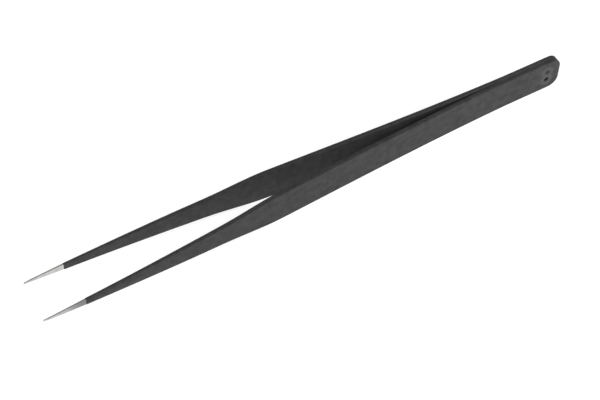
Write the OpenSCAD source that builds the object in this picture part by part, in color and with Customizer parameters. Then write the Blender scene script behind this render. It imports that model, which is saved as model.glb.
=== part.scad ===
// Straight fine-point tweezers: two springy steel arms, spot welded to each other at the heel, in a
// dark epoxy coating that stops short of the bare ground points.
//
// They lie on the narrow edges of their arms, as on a bench. The origin is on that surface, under the
// middle of the outline. +X runs from the points to the heel, the arms open along Y, and +Z is up.
// A station is a distance from the heel's end towards the points, so station 0 is the far +X end.
// The left arm is on the -Y side and the right arm is its mirror image.
//
// An arm is one bent strip. It is cut once here, at the line that its springy part bends about, so
// that its front can turn on a hinge: the heel, with both arms' roots, stays still.

/* [Overall] */
// Length from the heel's end to the points
length = 140; // [125:1:155]
// Gap between the two points, with the arms at rest
opening = 10.8; // [8:0.2:12]

/* [Steel arms] */
// Thickness of the steel strip
strip_t = 1.0; // [0.8:0.05:1.3]
// Width of the steel strip, from the heel to the shoulder
strip_w = 9.4; // [8:0.1:10]
// Thickness of the steel at the very end of the point
point_t = 0.38; // [0.3:0.02:0.6]
// Width of the steel where the bare point begins
bare_w = 2.05; // [1.4:0.05:2.6]
// Width of the steel just behind the rounded end of the point
point_w = 0.5; // [0.4:0.05:1.2]
// Radius of the heel's corners
heel_r = 2.7; // [1:0.1:4.2]

/* [Stations along an arm] */
// Where the welded faces end and the arms start to part
seam_end = 15; // [10:1:20]
// Line that the springy part of the arm bends about
bend_at = 38; // [30:1:46]
// Where the strip starts to narrow
shoulder_start = 79; // [70:1:84]
// Where the shoulder runs out into the straight taper
shoulder_end = 95; // [90:1:100]
// Width of the steel at the end of the shoulder
shoulder_w = 6.1; // [5:0.1:7]
// Where the strip starts to get thinner towards the point
thinning_start = 92; // [86:1:100]
// Length of bare steel at the point
bare_len = 10; // [6:1:16]
// How much further forward the coating reaches on the right arm than on the left one
bare_skew = 0.6; // [0:0.1:1.5]

/* [Bow of the arms] */
// Angle of each arm to the middle plane where it leaves the heel
root_angle = 1.0; // [0.8:0.1:1.4]
// Angle of each arm to the middle plane at the point
tip_angle = 0.5; // [0:0.1:1]

/* [Coating and welds] */
// Thickness of the epoxy coating
coat_t = 0.06; // [0.04:0.01:0.08]
// Station of the two spot welds
weld_at = 3.6; // [3:0.1:6]
// Distance between the two spot welds, across the strip
weld_gap = 2.8; // [2.4:0.1:4.4]
// Diameter of a weld nugget and of the dimple that the electrode leaves
weld_d = 1.5; // [1.2:0.1:2.2]
// Depth of a dimple
dimple_depth = 0.2; // [0.05:0.01:0.2]

/* [Hidden] */

$fn = 48;

// Room that the turning blade needs between its end and the heel
bend_gap = 0.06;
// How far a weld nugget reaches into each strip
nugget_depth = 0.4;
// Share of the crotch that the coating fills, up to where the steel is clear of the middle plane by
// the coating's own thickness
crotch_fill = 0.6;
// Steps of the bow's curve, of the shoulder and of each rounded corner
bow_steps = 25;
shoulder_steps = 8;
corner_steps = 8;
tip_steps = 6;
// How far a cutting block stands out past what it cuts
past = 1;

mid_z = strip_w / 2 + coat_t;
bare_start = length - bare_len;
arm_run = length - seam_end;
tip_r = point_w / 2;

steel = [0.72, 0.72, 0.73];
weld_steel = [0.55, 0.56, 0.58];
epoxy = [0.21, 0.20, 0.21];

// x of a station
function x_at(s) = length / 2 - s;

// Cubic from y0 with slope m0 to y1 with slope m1, t from 0 to 1
function cubic(t, y0, m0, y1, m1) =
    y0 * (2 * pow(t, 3) - 3 * pow(t, 2) + 1) + m0 * (pow(t, 3) - 2 * pow(t, 2) + t)
    + y1 * (3 * pow(t, 2) - 2 * pow(t, 3)) + m1 * (pow(t, 3) - pow(t, 2));

// Straight line between two stations, level before the first
function ramp(s, s0, y0, s1, y1) = s <= s0 ? y0 : y0 + (y1 - y0) * (s - s0) / (s1 - s0);

// Distance of the steel's inner face from the middle plane
function steel_inner(s) =
    s <= seam_end ? 0
    : cubic((s - seam_end) / arm_run, 0, arm_run * tan(root_angle),
            opening / 2, arm_run * tan(tip_angle));

function steel_thickness(s) = ramp(s, thinning_start, strip_t, length, point_t);

// Half of the steel's width in the straight taper and in the shoulder
taper_slope = (bare_w - shoulder_w) / 2 / (bare_start - shoulder_end);
shoulder_run = shoulder_end - shoulder_start;
function shoulder_half(t) =
    cubic(t, strip_w / 2, 0, shoulder_w / 2, taper_slope * shoulder_run);

// Where the two coatings part, a little past the seam, because they fill the crotch between the arms
coat_split = seam_end + crotch_fill * coat_t / tan(root_angle);

// Stations that follow the bow
bow_stations = [0, seam_end, coat_split, for (i = [1:bow_steps]) seam_end + arm_run * i / bow_steps];

// Outline of one arm seen from above, on the +Y side, with a skin around the steel
function arm_plan(skin) = concat(
    [for (s = bow_stations) [x_at(s), max(0, steel_inner(s) - skin)]],
    [for (i = [len(bow_stations) - 1:-1:0])
        let (s = bow_stations[i])
        [x_at(s), steel_inner(s) + steel_thickness(s) + skin]]);

// Upper half of an arm's outline seen from the side, from the heel to the point: [station, height]
function side_half(skin) = concat(
    [for (i = [0:corner_steps])
        let (a = 90 * i / corner_steps)
        [heel_r + coat_t - (heel_r + skin) * cos(a),
         strip_w / 2 - heel_r + (heel_r + skin) * sin(a)]],
    [for (i = [0:shoulder_steps])
        let (t = i / shoulder_steps)
        [shoulder_start + shoulder_run * t, shoulder_half(t) + skin]],
    [[bare_start, bare_w / 2 + skin]],
    [for (i = [0:tip_steps - 1])
        let (a = 90 * i / tip_steps)
        [length - tip_r + (tip_r + skin) * sin(a), (tip_r + skin) * cos(a)]]);

module side_outline(skin) {
    half = side_half(skin);
    last = len(half) - 1;
    upper = [for (p = half) [x_at(p[0]), mid_z + p[1]]];
    point_end = [[x_at(length + skin), mid_z]];
    lower = [for (i = [last:-1:0]) [x_at(half[i][0]), mid_z - half[i][1]]];
    polygon(concat(upper, point_end, lower));
}

// One whole arm on the +Y side, or its coated form
module arm(skin) {
    intersection() {
        linear_extrude(height = 2 * mid_z) polygon(arm_plan(skin));
        rotate([90, 0, 0])
            linear_extrude(height = 2 * opening, center = true)
                side_outline(skin);
    }
}

// Block that keeps what lies between two stations
module between(s0, s1) {
    translate([x_at(s1), -opening, -past])
        cube([s1 - s0, 2 * opening, 2 * mid_z + 2 * past]);
}

// Round bars along Y at the two weld places, reaching from y0 to y1
module weld_bars(d, y0, y1) {
    for (side = [-1, 1])
        translate([x_at(weld_at), y0, mid_z + side * weld_gap / 2])
            rotate([-90, 0, 0])
                cylinder(d = d, h = y1 - y0);
}

// Root of one arm on the +Y side, without the pockets of the welds
module heel_blank() {
    difference() {
        intersection() {
            arm(0);
            between(-past, bend_at - bend_gap / 2);
        }
        weld_bars(weld_d, strip_t - dimple_depth, strip_t + past);
    }
}

module heel() {
    difference() {
        heel_blank();
        weld_bars(weld_d, -past, nugget_depth);
    }
}

// Front of one arm on the +Y side, with its bare point
module blade() {
    intersection() {
        arm(0);
        between(bend_at + bend_gap / 2, length + past);
    }
}

// Skin over that front, up to a station
module blade_coating(coat_end) {
    difference() {
        intersection() {
            arm(coat_t);
            between(bend_at + bend_gap / 2, coat_end);
        }
        arm(0);
    }
}

module left() {
    mirror([0, 1, 0]) children();
}

module left_heel() { color(steel) left() heel(); }
module right_heel() { color(steel) heel(); }

// The metal that has melted together, one lens at each weld
module spot_welds() {
    color(weld_steel) weld_bars(weld_d, -nugget_depth, nugget_depth);
}

// One skin over both roots, which fills the narrow crotch where they part
module heel_coating() {
    skin_y = strip_t + coat_t;
    color(epoxy)
        difference() {
            intersection() {
                union() {
                    arm(coat_t);
                    left() arm(coat_t);
                }
                between(-past, bend_at - bend_gap / 2);
            }
            heel_blank();
            left() heel_blank();
            for (side = [0, 1])
                mirror([0, side, 0])
                    weld_bars(weld_d - 2 * coat_t, skin_y - dimple_depth, skin_y + past);
        }
}

module left_blade() { color(steel) left() blade(); }
module right_blade() { color(steel) blade(); }
module left_blade_coating() { color(epoxy) left() blade_coating(bare_start - bare_skew / 2); }
module right_blade_coating() { color(epoxy) blade_coating(bare_start + bare_skew / 2); }

left_heel();
right_heel();
spot_welds();
heel_coating();
left_blade();
right_blade();
left_blade_coating();
right_blade_coating();
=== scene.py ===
"""Looks of the fine-point tweezers: two steel arms in a dark epoxy coating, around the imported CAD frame.

An arm is a flat strip with rounded edges. Stations are distances from the heel's end towards the point.
"""

import math

import bmesh
import bpy
import numpy as np
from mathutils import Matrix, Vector, noise


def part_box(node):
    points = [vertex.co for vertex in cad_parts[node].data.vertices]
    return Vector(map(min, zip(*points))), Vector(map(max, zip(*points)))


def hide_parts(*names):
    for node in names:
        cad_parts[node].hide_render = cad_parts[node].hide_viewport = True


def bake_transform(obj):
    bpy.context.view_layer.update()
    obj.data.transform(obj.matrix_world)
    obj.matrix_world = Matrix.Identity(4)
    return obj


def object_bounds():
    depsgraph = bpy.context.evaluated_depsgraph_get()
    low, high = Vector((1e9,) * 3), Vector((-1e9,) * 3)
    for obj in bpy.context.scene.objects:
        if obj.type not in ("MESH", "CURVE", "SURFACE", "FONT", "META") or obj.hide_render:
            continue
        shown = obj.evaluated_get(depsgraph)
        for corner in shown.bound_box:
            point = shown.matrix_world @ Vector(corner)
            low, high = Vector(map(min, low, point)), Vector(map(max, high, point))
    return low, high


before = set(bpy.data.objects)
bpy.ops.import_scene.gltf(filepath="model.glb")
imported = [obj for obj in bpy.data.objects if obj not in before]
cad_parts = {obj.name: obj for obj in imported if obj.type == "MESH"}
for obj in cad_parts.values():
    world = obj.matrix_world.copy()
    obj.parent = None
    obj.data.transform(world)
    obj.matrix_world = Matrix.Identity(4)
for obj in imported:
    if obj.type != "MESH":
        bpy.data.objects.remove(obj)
cad_low, cad_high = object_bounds()

MM = 0.001

# ---------------------------------------------------------------- sizes

# Camera: what it looks at, its direction and height from there in degrees and how far away it is, its
# lens for the default 36 mm sensor, and how near and how far it sees
AIM = Vector((-4.853, -4.349, 4.75)) * MM
CAMERA_AZIMUTH = -28.987
CAMERA_ELEVATION = 54.679
CAMERA_DISTANCE = 350 * MM
CAMERA_LENS = 90.657
CAMERA_CLIP = (10 * MM, 20)

# Rounding of the strip's edges, and the share of the thickness that it may take up
EDGE = 0.12 * MM
EDGE_SHARE = 0.45
# Between these stations the outer face turns from flat to round, as it is ground. Its edges then lie
# lower than its middle by this share of the thickness.
GROUND_START = 100 * MM
GROUND_END = 134 * MM
GROUND_SHARE = 0.30
# Length of the rounded nose of a point, and the share of the thickness that it takes off
NOSE = 2.5 * MM
NOSE_SHARE = 0.5

# Dimples that the welding electrodes leave on the outer faces: their depth, the width of their sloping
# side and of the paler ring around them, and how strongly painted shade darkens the lower and the upper
# one
DIMPLE_DEPTH = 0.2 * MM
DIMPLE_RIM = 0.35 * MM
RING_WIDTH = 0.5 * MM
DIMPLE_SHADES = (1.0, 0.2)
# The outer faces of the bare steel are darkened with painted shade next to the coating, and are rougher
# there. Both fade out between these distances from it.
STEEL_SHADE_START = 0.5 * MM
STEEL_SHADE_END = 7 * MM

# Mesh steps: across the strip, along it, along it by the welds, and round the heel's corners, the point
# and the edges
ROWS = 48
STEP = 1.0 * MM
FINE_STEP = 0.2 * MM
CORNER_STEPS = 14
TIP_STEPS = 8
EDGE_STEPS = 4
# Width of the averaging that turns the CAD's straight steps into curves, and how many samples it takes
SMOOTH = 2.5 * MM
SAMPLES = 8001
# Decimals of a metre that tell two stations apart, and a length too small to matter
DECIMALS = 7
HAIR = 1e-7
# Points nearer to each other than this are joined, and faces thinner than this are dropped
JOIN = 0.0005 * MM
THINNEST = 0.0002 * MM

# What is left of the coating where the two arms touch
SEAM_FILM = 0.015 * MM
# Waves in the coating: their depth, their length along the arm and how much shorter they are across it,
# how sharply they fade towards the edges, and how far apart each arm and each face are in the noise
WAVE_DEPTH = 0.012 * MM
WAVE_LENGTH = 6 * MM
WAVE_SQUEEZE = 1.7
WAVE_FADE = 8
WAVE_APART = (9.1, 3.3)
# The front edge of the coating: how far it wanders, the ripples in each millimetre of depth and height,
# how far apart the arms are in the noise, the length over which it thins, in how many rows of points and
# by what share, and how many of those lengths the wandering reaches back
LIP_WANDER = 0.14 * MM
LIP_RIPPLES = (1.9, 1.3)
LIP_APART = 4.7
LIP_LENGTH = 0.25 * MM
LIP_STEPS = 5
LIP_THIN = 0.75
LIP_REACH = 6

# Most of a noise's values lie in this range
NOISE_RANGE = (0.3, 0.7)

# Coating: its darkest and palest colour, and that of its grains, of the thin ring round a dimple and of
# the painted shade in a dimple
EPOXY_DARK = (0.0163, 0.0157, 0.0160)
EPOXY_PALE = (0.0349, 0.0338, 0.0343)
EPOXY_GRAIN = (0.048, 0.047, 0.0475)
EPOXY_THIN = (0.060, 0.059, 0.059)
EPOXY_DIMPLE_SHADE = (0.002, 0.002, 0.002)
# its roughness where it is darkest, palest and painted with shade in a dimple, and its gloss
EPOXY_ROUGHNESS = (0.56, 0.46)
DIMPLE_SHADE_ROUGHNESS = 0.95
EPOXY_GLOSS = 0.19
# how many mottles, bumps and grains there are in a millimetre, the range of the noise over which the
# grains' colour sets in and how strong it gets, and how high bumps and grains are and how strongly they
# show
MOTTLE_SCALE = 0.55
PEEL_SCALE = 1.6
GRAIN_SCALE = 7.0
GRAIN_RANGE = (0.45, 0.70)
GRAIN_SHARE = 0.5
PEEL_HEIGHT = 0.03 * MM
GRAIN_HEIGHT = 0.014 * MM
RELIEF = 0.8

# Bare steel: its darkest and palest colour, and its painted shade next to the coating. Its roughness
# varies with the grinding lines, and is higher next to the coating.
STEEL_DARK = (0.46, 0.455, 0.45)
STEEL_PALE = (0.57, 0.565, 0.56)
STEEL_SHADED = (0.24, 0.237, 0.234)
STEEL_ROUGHNESS = (0.30, 0.44)
SHADED_STEEL_ROUGHNESS = 0.55
# how much closer together the grinding lines are along, through and across the arm than their scale says,
# how many of them and of the clouds there are in a millimetre, the range of the lines' noise over which
# the roughness varies, and the lines' height and strength
LINE_SQUEEZE = (0.25, 9, 9)
LINE_SCALE = 2.2
CLOUD_SCALE = 0.8
LINE_RANGE = (0.25, 0.75)
LINE_HEIGHT = 0.004 * MM
LINE_RELIEF = 0.5
# Fused steel of the welds, with its clouds in each metre and the range of their noise that shows
WELD_DARK = (0.40, 0.40, 0.42)
WELD_PALE = (0.60, 0.60, 0.60)
WELD_ROUGHNESS = (0.35, 0.55)
WELD_SCALE = 1500
WELD_RANGE = (0.2, 0.8)

# How far each arm's middle plane is moved out in its material's noise, so that the two arms differ
ARMS_APART = 20 * MM

# Floor: half its width in metres, its shade, roughness and gloss, and its own glow
FLOOR_REACH = 3.0
FLOOR_SHADE = 0.35
FLOOR_ROUGHNESS = 0.8
FLOOR_GLOSS = 0.1
FLOOR_GLOW = 0.72

# Light: the surroundings and a pale band of them along the horizon, a large low lamp on the points' side
# and a small one by the heel, with the width and power of each in metres and watts
SURROUNDINGS = 0.30
HORIZON = 0.95
HORIZON_TOP = 0.16
WINDOW_PLACE = Vector((-0.716, -0.159, 0.318))
WINDOW_SIZE = 0.5
WINDOW_POWER = 9.3
LAMP_PLACE = Vector((0.16, -0.10, 0.13))
LAMP_AIM = Vector((0.06, -0.01, 0.004))
LAMP_SIZE = 0.16
LAMP_POWER = 0.345

SIDES = {"left": -1, "right": 1}


# ---------------------------------------------------------------- what the CAD arms measure

def smoothstep(x, low, high):
    t = np.clip((np.asarray(x, float) - low) / (high - low), 0, 1)
    return t * t * (3 - 2 * t)


def node_points(*names):
    """All mesh corners of these CAD nodes."""
    return np.array([v.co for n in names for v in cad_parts[n].data.vertices], float)


def averaged(s, values, width):
    """A line of straight pieces as a curve: its running average over width on both sides."""
    dense = np.linspace(s[0], s[-1], SAMPLES)
    line = np.interp(dense, s, values)
    total = np.concatenate([[0], np.cumsum((line[1:] + line[:-1]) / 2 * np.diff(dense))])

    def at(x):
        x = np.clip(np.asarray(x, float), s[0] + HAIR, s[-1] - HAIR)
        reach = np.minimum(np.minimum(x - s[0], s[-1] - x), width)
        upper = np.interp(x + reach, dense, total)
        lower = np.interp(x - reach, dense, total)
        return (upper - lower) / (2 * reach)

    return at


class Arm:
    """The steel of one arm, as the CAD nodes have it."""

    def __init__(self, side):
        points = node_points(f"{side}_heel", f"{side}_blade")
        # the dimples' own points would make the strip look thin, so they are left out
        weld_low, weld_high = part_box("spot_welds")
        margin = STEP / 100
        by_weld = (points[:, 0] > weld_low.x - margin) & (points[:, 0] < weld_high.x + margin)
        points = points[~by_weld]
        self.sign = SIDES[side]
        self.heel_x = cad_high.x
        self.mid_z = (cad_low.z + cad_high.z) / 2
        station = np.round(self.heel_x - points[:, 0], DECIMALS)
        rows = []
        for s in np.unique(station):
            here = points[station == s]
            depth = np.abs(here[:, 1])
            rows.append((s, np.abs(here[:, 2] - self.mid_z).max(), depth.min(), depth.max()))
        s, half, inner, outer = np.array(rows).T
        self.start, self.length = s[0], s[-1]
        # the heel's corner is a quarter circle, and the tip a half circle
        self.flat = half[0]
        self.corner = half.max() - half[0]
        self.tip = half[half >= self.length - s - 10 * HAIR].max()
        body = (s > self.start + self.corner / 2) & (s <= self.length - self.tip + HAIR)
        straight_s = np.concatenate([[self.start], s[body]])
        straight_half = np.concatenate([[half.max()], half[body]])
        self.half = averaged(straight_s, straight_half, SMOOTH / 2)
        self.inner = averaged(s, inner, SMOOTH)
        self.outer = averaged(s, outer, SMOOTH)

    def thickness(self, s):
        return self.outer(s) - self.inner(s)


def weld_places(arm):
    """Station and height above the middle of each spot weld, and their radius."""
    points = node_points("spot_welds")
    low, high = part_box("spot_welds")
    radius = (high.x - low.x) / 2
    rise = high.z - arm.mid_z - radius
    station = arm.heel_x - (low.x + high.x) / 2
    return [(station, -rise), (station, rise)], radius


# ---------------------------------------------------------------- the strip's surface

def columns(arm, front):
    """Outline of an arm from the heel to the station front, or to the point if front is None.

    Each row holds a station, the half height there and the outward direction.
    """
    rows = []
    for a in np.linspace(0, math.pi / 2, CORNER_STEPS + 1)[:-1]:
        along, up = math.cos(a), math.sin(a)
        rows.append((arm.start + arm.corner * (1 - along), arm.flat + arm.corner * up, -along, up))
    places, radius = weld_places(arm)
    full = arm.start + arm.corner
    welded = places[0][0] + radius + DIMPLE_RIM
    closed = front is None
    last = arm.length - arm.tip if closed else front
    fine = np.arange(full, welded, FINE_STEP)
    count = int((last - welded) / STEP)
    s = np.concatenate([fine, np.linspace(welded, last, count + 1)])
    if not closed:
        lip = last - LIP_LENGTH * np.linspace(1, 0, LIP_STEPS + 1)
        s = np.concatenate([s[s < lip[0] - STEP / 4], lip])
    slope = (arm.half(s + STEP / 10) - arm.half(s - STEP / 10)) / (STEP / 5)
    size = np.hypot(slope, 1)
    rows += list(zip(s, arm.half(s), -slope / size, 1 / size))
    if closed:
        for b in np.linspace(0, math.pi / 2, TIP_STEPS + 1)[1:]:
            rows.append((last + arm.tip * math.sin(b), arm.tip * math.cos(b), math.sin(b), math.cos(b)))
    return np.array(rows)


def nose(arm, s):
    """How much the outer face falls away towards the very end of the point."""
    along = np.clip((s - arm.length + NOSE) / NOSE, 0, 1)
    return NOSE_SHARE * arm.thickness(s) * along**2


def crown(arm, s):
    """How much lower the edges of the outer face lie than its middle."""
    left = arm.thickness(s) - nose(arm, s)
    return GROUND_SHARE * smoothstep(s, GROUND_START, GROUND_END) * left


def outer_face(arm, s, z, half):
    """Depth of the steel's outer face, and how far it is tilted up or down there."""
    drop = crown(arm, s)
    depth = arm.outer(s) - nose(arm, s) - drop * (z / half) ** 2
    return depth, np.arctan(2 * drop * z / half**2)


def in_dimples(arm, s, z, shares=(1, 1)):
    """1 on the bottom of a weld dimple and 0 outside it, times the dimple's own share."""
    places, radius = weld_places(arm)
    deep = np.zeros(np.broadcast(s, z).shape)
    for (at_s, at_z), share in zip(places, shares):
        away = np.hypot(s - at_s, z - at_z)
        inside = 1 - smoothstep(away, radius - DIMPLE_RIM, radius + DIMPLE_RIM / 3)
        deep = np.maximum(deep, share * inside)
    return deep


def rings_round_dimples(arm, s, z):
    """1 in the middle of the pale ring around each dimple, fading to 0 on both sides."""
    places, radius = weld_places(arm)
    away = np.min([np.hypot(s - at_s, z - at_z) for at_s, at_z in places], axis=0)
    return np.exp(-(((away - radius - RING_WIDTH) / RING_WIDTH) ** 2))


def waves(s, z, sign, outer):
    """Unevenness of a dipped coat, from 0 to 1."""
    flat = np.broadcast(s, z)
    by_arm, by_face = WAVE_APART
    layer = by_arm * sign + by_face * outer
    values = [
        0.5 + 0.5 * noise.noise(Vector((a / WAVE_LENGTH, WAVE_SQUEEZE * b / WAVE_LENGTH, layer)))
        for a, b in flat
    ]
    return np.clip(np.array(values), 0, 1).reshape(flat.shape)


def strip_surface(arm, skin, front=None, film=0.0):
    """Points, faces and front rim of an arm's surface, with a skin on the steel.

    It ends open at the station front, or closed at the point if front is None. No point of the inner face
    comes nearer to the middle plane than film.
    """
    s, half, ns, nz = columns(arm, front).T
    wide = np.maximum(half, arm.tip)
    v = np.linspace(-1, 1, ROWS + 1)
    last, top = len(s) - 1, ROWS
    coat = np.full(len(s), skin)
    if front is not None and skin > 0:
        coat = skin * (1 - LIP_THIN * np.clip((s - front) / LIP_LENGTH + 1, 0, 1) ** 3)
    # size of the rounded edges, and how far in from the outline each face therefore ends
    radius = np.minimum(EDGE, EDGE_SHARE * (arm.thickness(s) - nose(arm, s) - crown(arm, s)))
    tilt = np.arctan(2 * crown(arm, s) / wide * nz)
    points, faces = [], []

    def add(at_s, at_y, at_z):
        first = len(points)
        points.extend(np.stack([at_s, at_y, at_z], -1).reshape(-1, 3))
        return first + np.arange(at_s.size).reshape(at_s.shape)

    def grid(outer):
        """One broad face: its numbered points, and its place and tilt without the skin."""
        inset = radius * (1 - np.sin(tilt)) if outer else radius
        at_s = (s - inset * ns)[:, None] + 0 * v
        at_z = (half - inset * nz)[:, None] * v
        side = coat[:, None] + 0 * v
        rough = 0 * at_s
        if skin > 0:
            rough = WAVE_DEPTH * waves(at_s, at_z, arm.sign, outer) * (1 - v**WAVE_FADE)
        if outer:
            at_y, lean = outer_face(arm, at_s, at_z, wide[:, None])
            at_y = at_y - DIMPLE_DEPTH * in_dimples(arm, at_s, at_z)
            made = add(at_s, at_y + side * np.cos(lean) - rough, at_z + side * np.sin(lean))
        else:
            at_y, lean = arm.inner(at_s), 0 * at_s
            made = add(at_s, np.maximum(film, at_y - side + rough), at_z)
        return made, (at_s, at_y, at_z, lean)

    # round the outline: along the bottom, up the heel, along the top, and down the point if it is there
    upper = [(i, top) for i in range(last + 1)]
    lower = [(i, 0) for i in range(last, -1, -1)]
    heel_end = [(0, j) for j in range(1, top)]
    tip_end = [(last, j) for j in range(top - 1, 0, -1)] if front is None else []
    loop = lower + heel_end + upper + tip_end
    li, lj = np.array(loop).T
    side_z = np.where(lj == top, 1.0, np.where(lj == 0, -1.0, 0.0))
    out_s, out_z = ns[li], nz[li] * side_z

    def rings(outer, place):
        """The rounded edge of a face, ring by ring outwards."""
        at_s, at_y, at_z, lean = (a[li, lj] for a in place)
        start = np.arctan(np.tan(np.abs(lean)) * np.abs(out_z))
        r, c = radius[li], coat[li]
        made = []
        for k in range(1, EDGE_STEPS + 1):
            angle = start + (math.pi / 2 - start) * k / EDGE_STEPS
            away = r * (np.sin(angle) - np.sin(start)) + c * np.sin(angle)
            if outer:
                y = at_y - r * (np.cos(start) - np.cos(angle)) + c * np.cos(angle)
            else:
                y = np.maximum(film, at_y - c) + (r + c) * (1 - np.cos(angle))
            made.append(add(at_s + away * out_s, y, at_z + away * out_z))
        return made

    outside, outside_place = grid(True)
    inside, inside_place = grid(False)
    loops = [outside[li, lj], *rings(True, outside_place)]
    loops += [*rings(False, inside_place)[::-1], inside[li, lj]]
    for face, flip in ((outside, 1), (inside, -1)):
        for i in range(last):
            for j in range(top):
                corners = [face[i, j], face[i, j + 1], face[i + 1, j + 1], face[i + 1, j]]
                faces.append(corners[::flip])
    count = len(loop) - (front is not None)
    for a, b in zip(loops, loops[1:]):
        for k in range(count):
            m = (k + 1) % len(loop)
            faces.append([a[k], b[k], b[m], a[m]])
    rim = []
    if front is not None:
        upper_edge = [ring[-1] for ring in loops[1:-1]]
        lower_edge = [ring[0] for ring in loops[-2:0:-1]]
        rim = [*outside[last], *upper_edge, *inside[last, ::-1], *lower_edge]
    return np.array(points), faces, rim


def wander(arm, points, front):
    """Moves the front edge of a coating back and forth a little, as a dipped edge is."""
    near = smoothstep(points[:, 0], front - LIP_REACH * LIP_LENGTH, front)
    deep, high = LIP_RIPPLES
    shift = [
        noise.noise(Vector((deep * y / MM, high * z / MM, LIP_APART * arm.sign)))
        for y, z in points[:, 1:]
    ]
    points[:, 0] -= LIP_WANDER * near * (0.5 + np.array(shift))


def to_row_frame(arm, points):
    """Stations and depths to metres in the row frame."""
    return np.stack([arm.heel_x - points[:, 0], arm.sign * points[:, 1], arm.mid_z + points[:, 2]], -1)


def on_outer(arm, points):
    """Which points are on the outer half of the strip."""
    s = np.clip(points[:, 0], arm.start, arm.length)
    return points[:, 1] > (arm.inner(s) + arm.outer(s)) / 2


def add_piece(name, arm, points, faces, material, mark):
    """A smooth mesh piece that keeps each point's place at rest, and its mark, for the material.

    The mark counts only on the outer half of the strip.
    """
    flat = to_row_frame(arm, points)
    if not np.isfinite(flat).all():
        raise ValueError(f"{name} has a point that is nowhere")
    mesh = bpy.data.meshes.new(name)
    mesh.from_pydata([tuple(p) for p in flat], [], [[int(i) for i in f] for f in faces])
    place = mesh.attributes.new("place_mm", "FLOAT_VECTOR", "POINT")
    rest = np.stack([points[:, 0], arm.sign * (ARMS_APART + points[:, 1]), points[:, 2]], -1) / MM
    place.data.foreach_set("vector", rest.astype(np.float32).ravel())
    marks = mesh.attributes.new("mark", "FLOAT", "POINT")
    marks.data.foreach_set("value", (mark * on_outer(arm, points)).astype(np.float32))
    piece = bpy.data.objects.new(name, mesh)
    bpy.context.scene.collection.objects.link(piece)
    tidy_mesh(mesh)
    mesh.materials.append(material)
    return piece


def tidy_mesh(mesh):
    """Joins points that lie on each other, drops faces with no area, and turns the faces outwards."""
    work = bmesh.new()
    work.from_mesh(mesh)
    bmesh.ops.remove_doubles(work, verts=work.verts, dist=JOIN)
    bmesh.ops.dissolve_degenerate(work, edges=work.edges, dist=THINNEST)
    bmesh.ops.recalc_face_normals(work, faces=work.faces)
    work.to_mesh(mesh)
    work.free()
    mesh.polygons.foreach_set("use_smooth", [True] * len(mesh.polygons))
    mesh.update()


# ---------------------------------------------------------------- materials

def new_material(name):
    material = bpy.data.materials.new(name)
    material.use_nodes = True
    nodes = material.node_tree.nodes
    return material, nodes, material.node_tree.links, nodes["Principled BSDF"]


def place_node(nodes, links, stretch=(1, 1, 1)):
    """Each point's place at rest, in millimetres, stretched."""
    place = nodes.new("ShaderNodeAttribute")
    place.attribute_name = "place_mm"
    scale = nodes.new("ShaderNodeMapping")
    scale.inputs["Scale"].default_value = stretch
    links.new(place.outputs["Vector"], scale.inputs["Vector"])
    return scale.outputs["Vector"]


def mark_node(nodes):
    """The mark that add_piece has left on each point."""
    mark = nodes.new("ShaderNodeAttribute")
    mark.attribute_name = "mark"
    return mark.outputs["Fac"]


def noise_node(nodes, links, place, scale, detail=3.0, roughness=0.5):
    """Noise with scale patches in each unit of place.

    Detail adds finer and finer patches to it, and roughness makes those stronger.
    """
    made = nodes.new("ShaderNodeTexNoise")
    made.inputs["Scale"].default_value = scale
    made.inputs["Detail"].default_value = detail
    made.inputs["Roughness"].default_value = roughness
    links.new(place, made.inputs["Vector"])
    return made.outputs["Fac"]


def remap(nodes, links, value, low, high, to_low, to_high):
    """The value as a share of the way from low to high, taken from to_low to to_high and held there."""
    made = nodes.new("ShaderNodeMapRange")
    made.inputs["From Min"].default_value = low
    made.inputs["From Max"].default_value = high
    made.inputs["To Min"].default_value = to_low
    made.inputs["To Max"].default_value = to_high
    links.new(value, made.inputs["Value"])
    return made.outputs["Result"]


def mix_colour(nodes, links, factor, a, b):
    """Colour a where the factor is 0 and b where it is 1. Each is a colour or a socket."""
    made = nodes.new("ShaderNodeMix")
    made.data_type = "RGBA"
    for socket, colour in ((made.inputs[6], a), (made.inputs[7], b)):
        if isinstance(colour, tuple):
            socket.default_value = (*colour, 1)
        else:
            links.new(colour, socket)
    links.new(factor, made.inputs[0])
    return made.outputs[2]


def mix_value(nodes, links, factor, a, b):
    """Socket a where the factor is 0 and the number b where it is 1."""
    made = nodes.new("ShaderNodeMix")
    links.new(factor, made.inputs[0])
    links.new(a, made.inputs[2])
    made.inputs[3].default_value = b
    return made.outputs[0]


def bump(nodes, links, height, distance, strength, under=None):
    """Relief from a height, on top of the relief under it."""
    made = nodes.new("ShaderNodeBump")
    made.inputs["Distance"].default_value = distance
    made.inputs["Strength"].default_value = strength
    links.new(height, made.inputs["Height"])
    if under is not None:
        links.new(under, made.inputs["Normal"])
    return made.outputs["Normal"]


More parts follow.
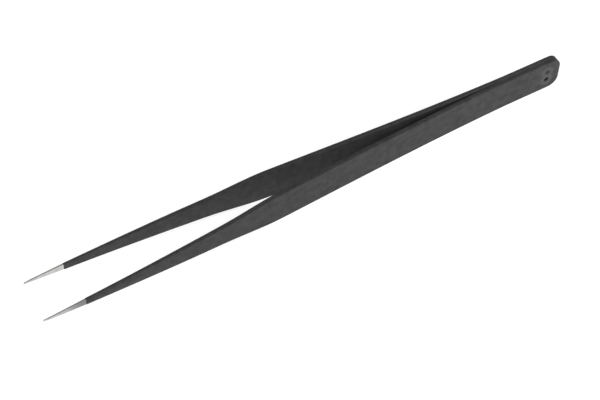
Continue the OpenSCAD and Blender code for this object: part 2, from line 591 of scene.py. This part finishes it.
def epoxy_material():
    """Charcoal antistatic epoxy: semi-matt, finely grained and mottled.

    Its mark is 1 where painted shade darkens a weld dimple, and below 0 where the coat is thin.
    """
    material, nodes, links, shader = new_material("charcoal_epoxy")
    place = place_node(nodes, links)
    mottle = noise_node(nodes, links, place, MOTTLE_SCALE, detail=6, roughness=0.62)
    grain = noise_node(nodes, links, place, GRAIN_SCALE, detail=2)
    peel = noise_node(nodes, links, place, PEEL_SCALE, detail=2)
    shade = remap(nodes, links, mottle, *NOISE_RANGE, 0, 1)
    colour = mix_colour(nodes, links, shade, EPOXY_DARK, EPOXY_PALE)
    speckle = remap(nodes, links, grain, *GRAIN_RANGE, 0, GRAIN_SHARE)
    colour = mix_colour(nodes, links, speckle, colour, EPOXY_GRAIN)
    mark = mark_node(nodes)
    # painted shade: the mark darkens the coat in the weld dimples
    dimple_shade = remap(nodes, links, mark, 0, 1, 0, 1)
    thin = remap(nodes, links, mark, 0, -1, 0, 1)
    colour = mix_colour(nodes, links, thin, colour, EPOXY_THIN)
    links.new(mix_colour(nodes, links, dimple_shade, colour, EPOXY_DIMPLE_SHADE), shader.inputs["Base Color"])
    sheen = remap(nodes, links, mottle, *NOISE_RANGE, *EPOXY_ROUGHNESS)
    links.new(mix_value(nodes, links, dimple_shade, sheen, DIMPLE_SHADE_ROUGHNESS), shader.inputs["Roughness"])
    shader.inputs["Specular IOR Level"].default_value = EPOXY_GLOSS
    normal = bump(nodes, links, peel, PEEL_HEIGHT, RELIEF)
    normal = bump(nodes, links, grain, GRAIN_HEIGHT, RELIEF, normal)
    links.new(normal, shader.inputs["Normal"])
    return material


def steel_material():
    """Stainless steel, ground along the points to a dull satin. Its mark is 1 where painted shade darkens
    it.
    """
    material, nodes, links, shader = new_material("ground_steel")
    along = place_node(nodes, links, LINE_SQUEEZE)
    lines = noise_node(nodes, links, along, LINE_SCALE, roughness=0.6)
    place = place_node(nodes, links)
    cloud = noise_node(nodes, links, place, CLOUD_SCALE)
    shade = remap(nodes, links, cloud, *NOISE_RANGE, 0, 1)
    colour = mix_colour(nodes, links, shade, STEEL_DARK, STEEL_PALE)
    shaded_band = mark_node(nodes)
    # painted shade: darker steel where the mark is set, next to the coating
    links.new(mix_colour(nodes, links, shaded_band, colour, STEEL_SHADED), shader.inputs["Base Color"])
    shader.inputs["Metallic"].default_value = 1.0
    sheen = remap(nodes, links, lines, *LINE_RANGE, *STEEL_ROUGHNESS)
    links.new(mix_value(nodes, links, shaded_band, sheen, SHADED_STEEL_ROUGHNESS), shader.inputs["Roughness"])
    links.new(bump(nodes, links, lines, LINE_HEIGHT, LINE_RELIEF), shader.inputs["Normal"])
    return material


def weld_material():
    """Steel that has melted and cooled between the arms."""
    material, nodes, links, shader = new_material("weld_steel")
    place = nodes.new("ShaderNodeTexCoord").outputs["Object"]
    cloud = noise_node(nodes, links, place, WELD_SCALE)
    colour = mix_colour(nodes, links, cloud, WELD_DARK, WELD_PALE)
    links.new(colour, shader.inputs["Base Color"])
    shader.inputs["Metallic"].default_value = 1.0
    links.new(remap(nodes, links, cloud, *WELD_RANGE, *WELD_ROUGHNESS), shader.inputs["Roughness"])
    return material


# ---------------------------------------------------------------- pieces

def bend_with(piece):
    """Bakes the piece's place into its mesh."""
    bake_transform(piece)


def steel_arm(side, arm, material):
    """One arm's steel, whole from the heel to the point, under the coating too."""
    points, faces, _ = strip_surface(arm, 0.0, film=SEAM_FILM)
    coat_end = arm.heel_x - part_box(f"{side}_blade_coating")[0].x
    # painted shade on the outer faces next to the coating, fading out towards the point
    shaded_band = 1 - smoothstep(points[:, 0], coat_end + STEEL_SHADE_START, coat_end + STEEL_SHADE_END)
    piece = add_piece(f"{side}_steel_arm", arm, points, faces, material, shaded_band)
    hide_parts(f"{side}_heel", f"{side}_blade")
    bend_with(piece)


def coating(side, arm, material):
    """The epoxy on one arm: an outer and an inner surface, joined round the front edge."""
    low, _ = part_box(f"{side}_blade_coating")
    front = arm.heel_x - low.x
    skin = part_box("heel_coating")[1].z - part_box(f"{side}_heel")[1].z
    outside, outer_faces, outer_rim = strip_surface(arm, skin, front, film=0.0)
    inside, inner_faces, inner_rim = strip_surface(arm, 0.0, front, film=SEAM_FILM)
    wander(arm, outside, front)
    wander(arm, inside, front)
    shift = len(outside)
    faces = outer_faces + [[i + shift for i in f[::-1]] for f in inner_faces]
    for k in range(len(outer_rim)):
        m = (k + 1) % len(outer_rim)
        faces.append([outer_rim[k], outer_rim[m], inner_rim[m] + shift, inner_rim[k] + shift])
    points = np.vstack([outside, inside])
    # painted shade darkens the weld dimples; the ring round each, where the coat is thin, is paler
    dimple_shade_and_thin_ring = in_dimples(arm, points[:, 0], points[:, 2], DIMPLE_SHADES)
    dimple_shade_and_thin_ring -= (1 - dimple_shade_and_thin_ring) * rings_round_dimples(arm, points[:, 0], points[:, 2])
    piece = add_piece(f"{side}_epoxy_coating", arm, points, faces, material, dimple_shade_and_thin_ring)
    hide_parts("heel_coating", f"{side}_blade_coating")
    bend_with(piece)


def tweezers():
    steel, epoxy = steel_material(), epoxy_material()
    for side in SIDES:
        arm = Arm(side)
        steel_arm(side, arm, steel)
        coating(side, arm, epoxy)
    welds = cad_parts["spot_welds"]
    welds.data.materials.clear()
    welds.data.materials.append(weld_material())


# ---------------------------------------------------------------- studio

def camera():
    """The photograph's viewing angle."""
    azimuth, elevation = math.radians(CAMERA_AZIMUTH), math.radians(CAMERA_ELEVATION)
    back = Vector((
        math.sin(azimuth) * math.cos(elevation),
        -math.cos(azimuth) * math.cos(elevation),
        math.sin(elevation),
    ))
    data = bpy.data.cameras.new("camera")
    data.lens = CAMERA_LENS
    data.clip_start, data.clip_end = CAMERA_CLIP
    made = bpy.data.objects.new("camera", data)
    made.location = AIM + back * CAMERA_DISTANCE
    made.rotation_mode = "QUATERNION"
    made.rotation_quaternion = (-back).to_track_quat("-Z", "Y")
    bpy.context.scene.collection.objects.link(made)
    bpy.context.scene.camera = made


def floor():
    """A plain white surface, lit through from below like a light table."""
    r = FLOOR_REACH
    mesh = bpy.data.meshes.new("floor")
    corners = [(-r, -r, 0), (r, -r, 0), (r, r, 0), (-r, r, 0)]
    mesh.from_pydata(corners, [], [(0, 1, 2, 3)])
    made = bpy.data.objects.new("floor", mesh)
    bpy.context.scene.collection.objects.link(made)
    material, _, _, shader = new_material("white_surface")
    shader.inputs["Base Color"].default_value = (FLOOR_SHADE, FLOOR_SHADE, FLOOR_SHADE, 1)
    shader.inputs["Roughness"].default_value = FLOOR_ROUGHNESS
    shader.inputs["Specular IOR Level"].default_value = FLOOR_GLOSS
    shader.inputs["Emission Color"].default_value = (1, 1, 1, 1)
    shader.inputs["Emission Strength"].default_value = FLOOR_GLOW
    mesh.materials.append(material)


def surround():
    """Dim even light from all round, over a pale horizon."""
    world = bpy.data.worlds.new("studio")
    world.use_nodes = True
    nodes, links = world.node_tree.nodes, world.node_tree.links
    split = nodes.new("ShaderNodeSeparateXYZ")
    links.new(nodes.new("ShaderNodeTexCoord").outputs["Generated"], split.inputs["Vector"])
    level = remap(nodes, links, split.outputs["Z"], 0, HORIZON_TOP, HORIZON, SURROUNDINGS)
    background = nodes["Background"]
    background.inputs["Color"].default_value = (1, 1, 1, 1)
    links.new(level, background.inputs["Strength"])
    bpy.context.scene.world = world


def area_light(name, place, aim, size, power):
    """A round lamp at place, turned towards aim."""
    data = bpy.data.lights.new(name, "AREA")
    data.shape = "DISK"
    data.size = size
    data.energy = power
    made = bpy.data.objects.new(name, data)
    made.location = place
    made.rotation_mode = "QUATERNION"
    made.rotation_quaternion = (aim - place).to_track_quat("-Z", "Y")
    bpy.context.scene.collection.objects.link(made)


def lights():
    """A soft studio: a bright window on the points' side and a weak lamp by the heel."""
    surround()
    area_light("window", WINDOW_PLACE, Vector(), WINDOW_SIZE, WINDOW_POWER)
    area_light("lamp", LAMP_PLACE, LAMP_AIM, LAMP_SIZE, LAMP_POWER)
    bpy.context.scene.view_settings.view_transform = "Standard"


camera()
tweezers()
floor()
lights()
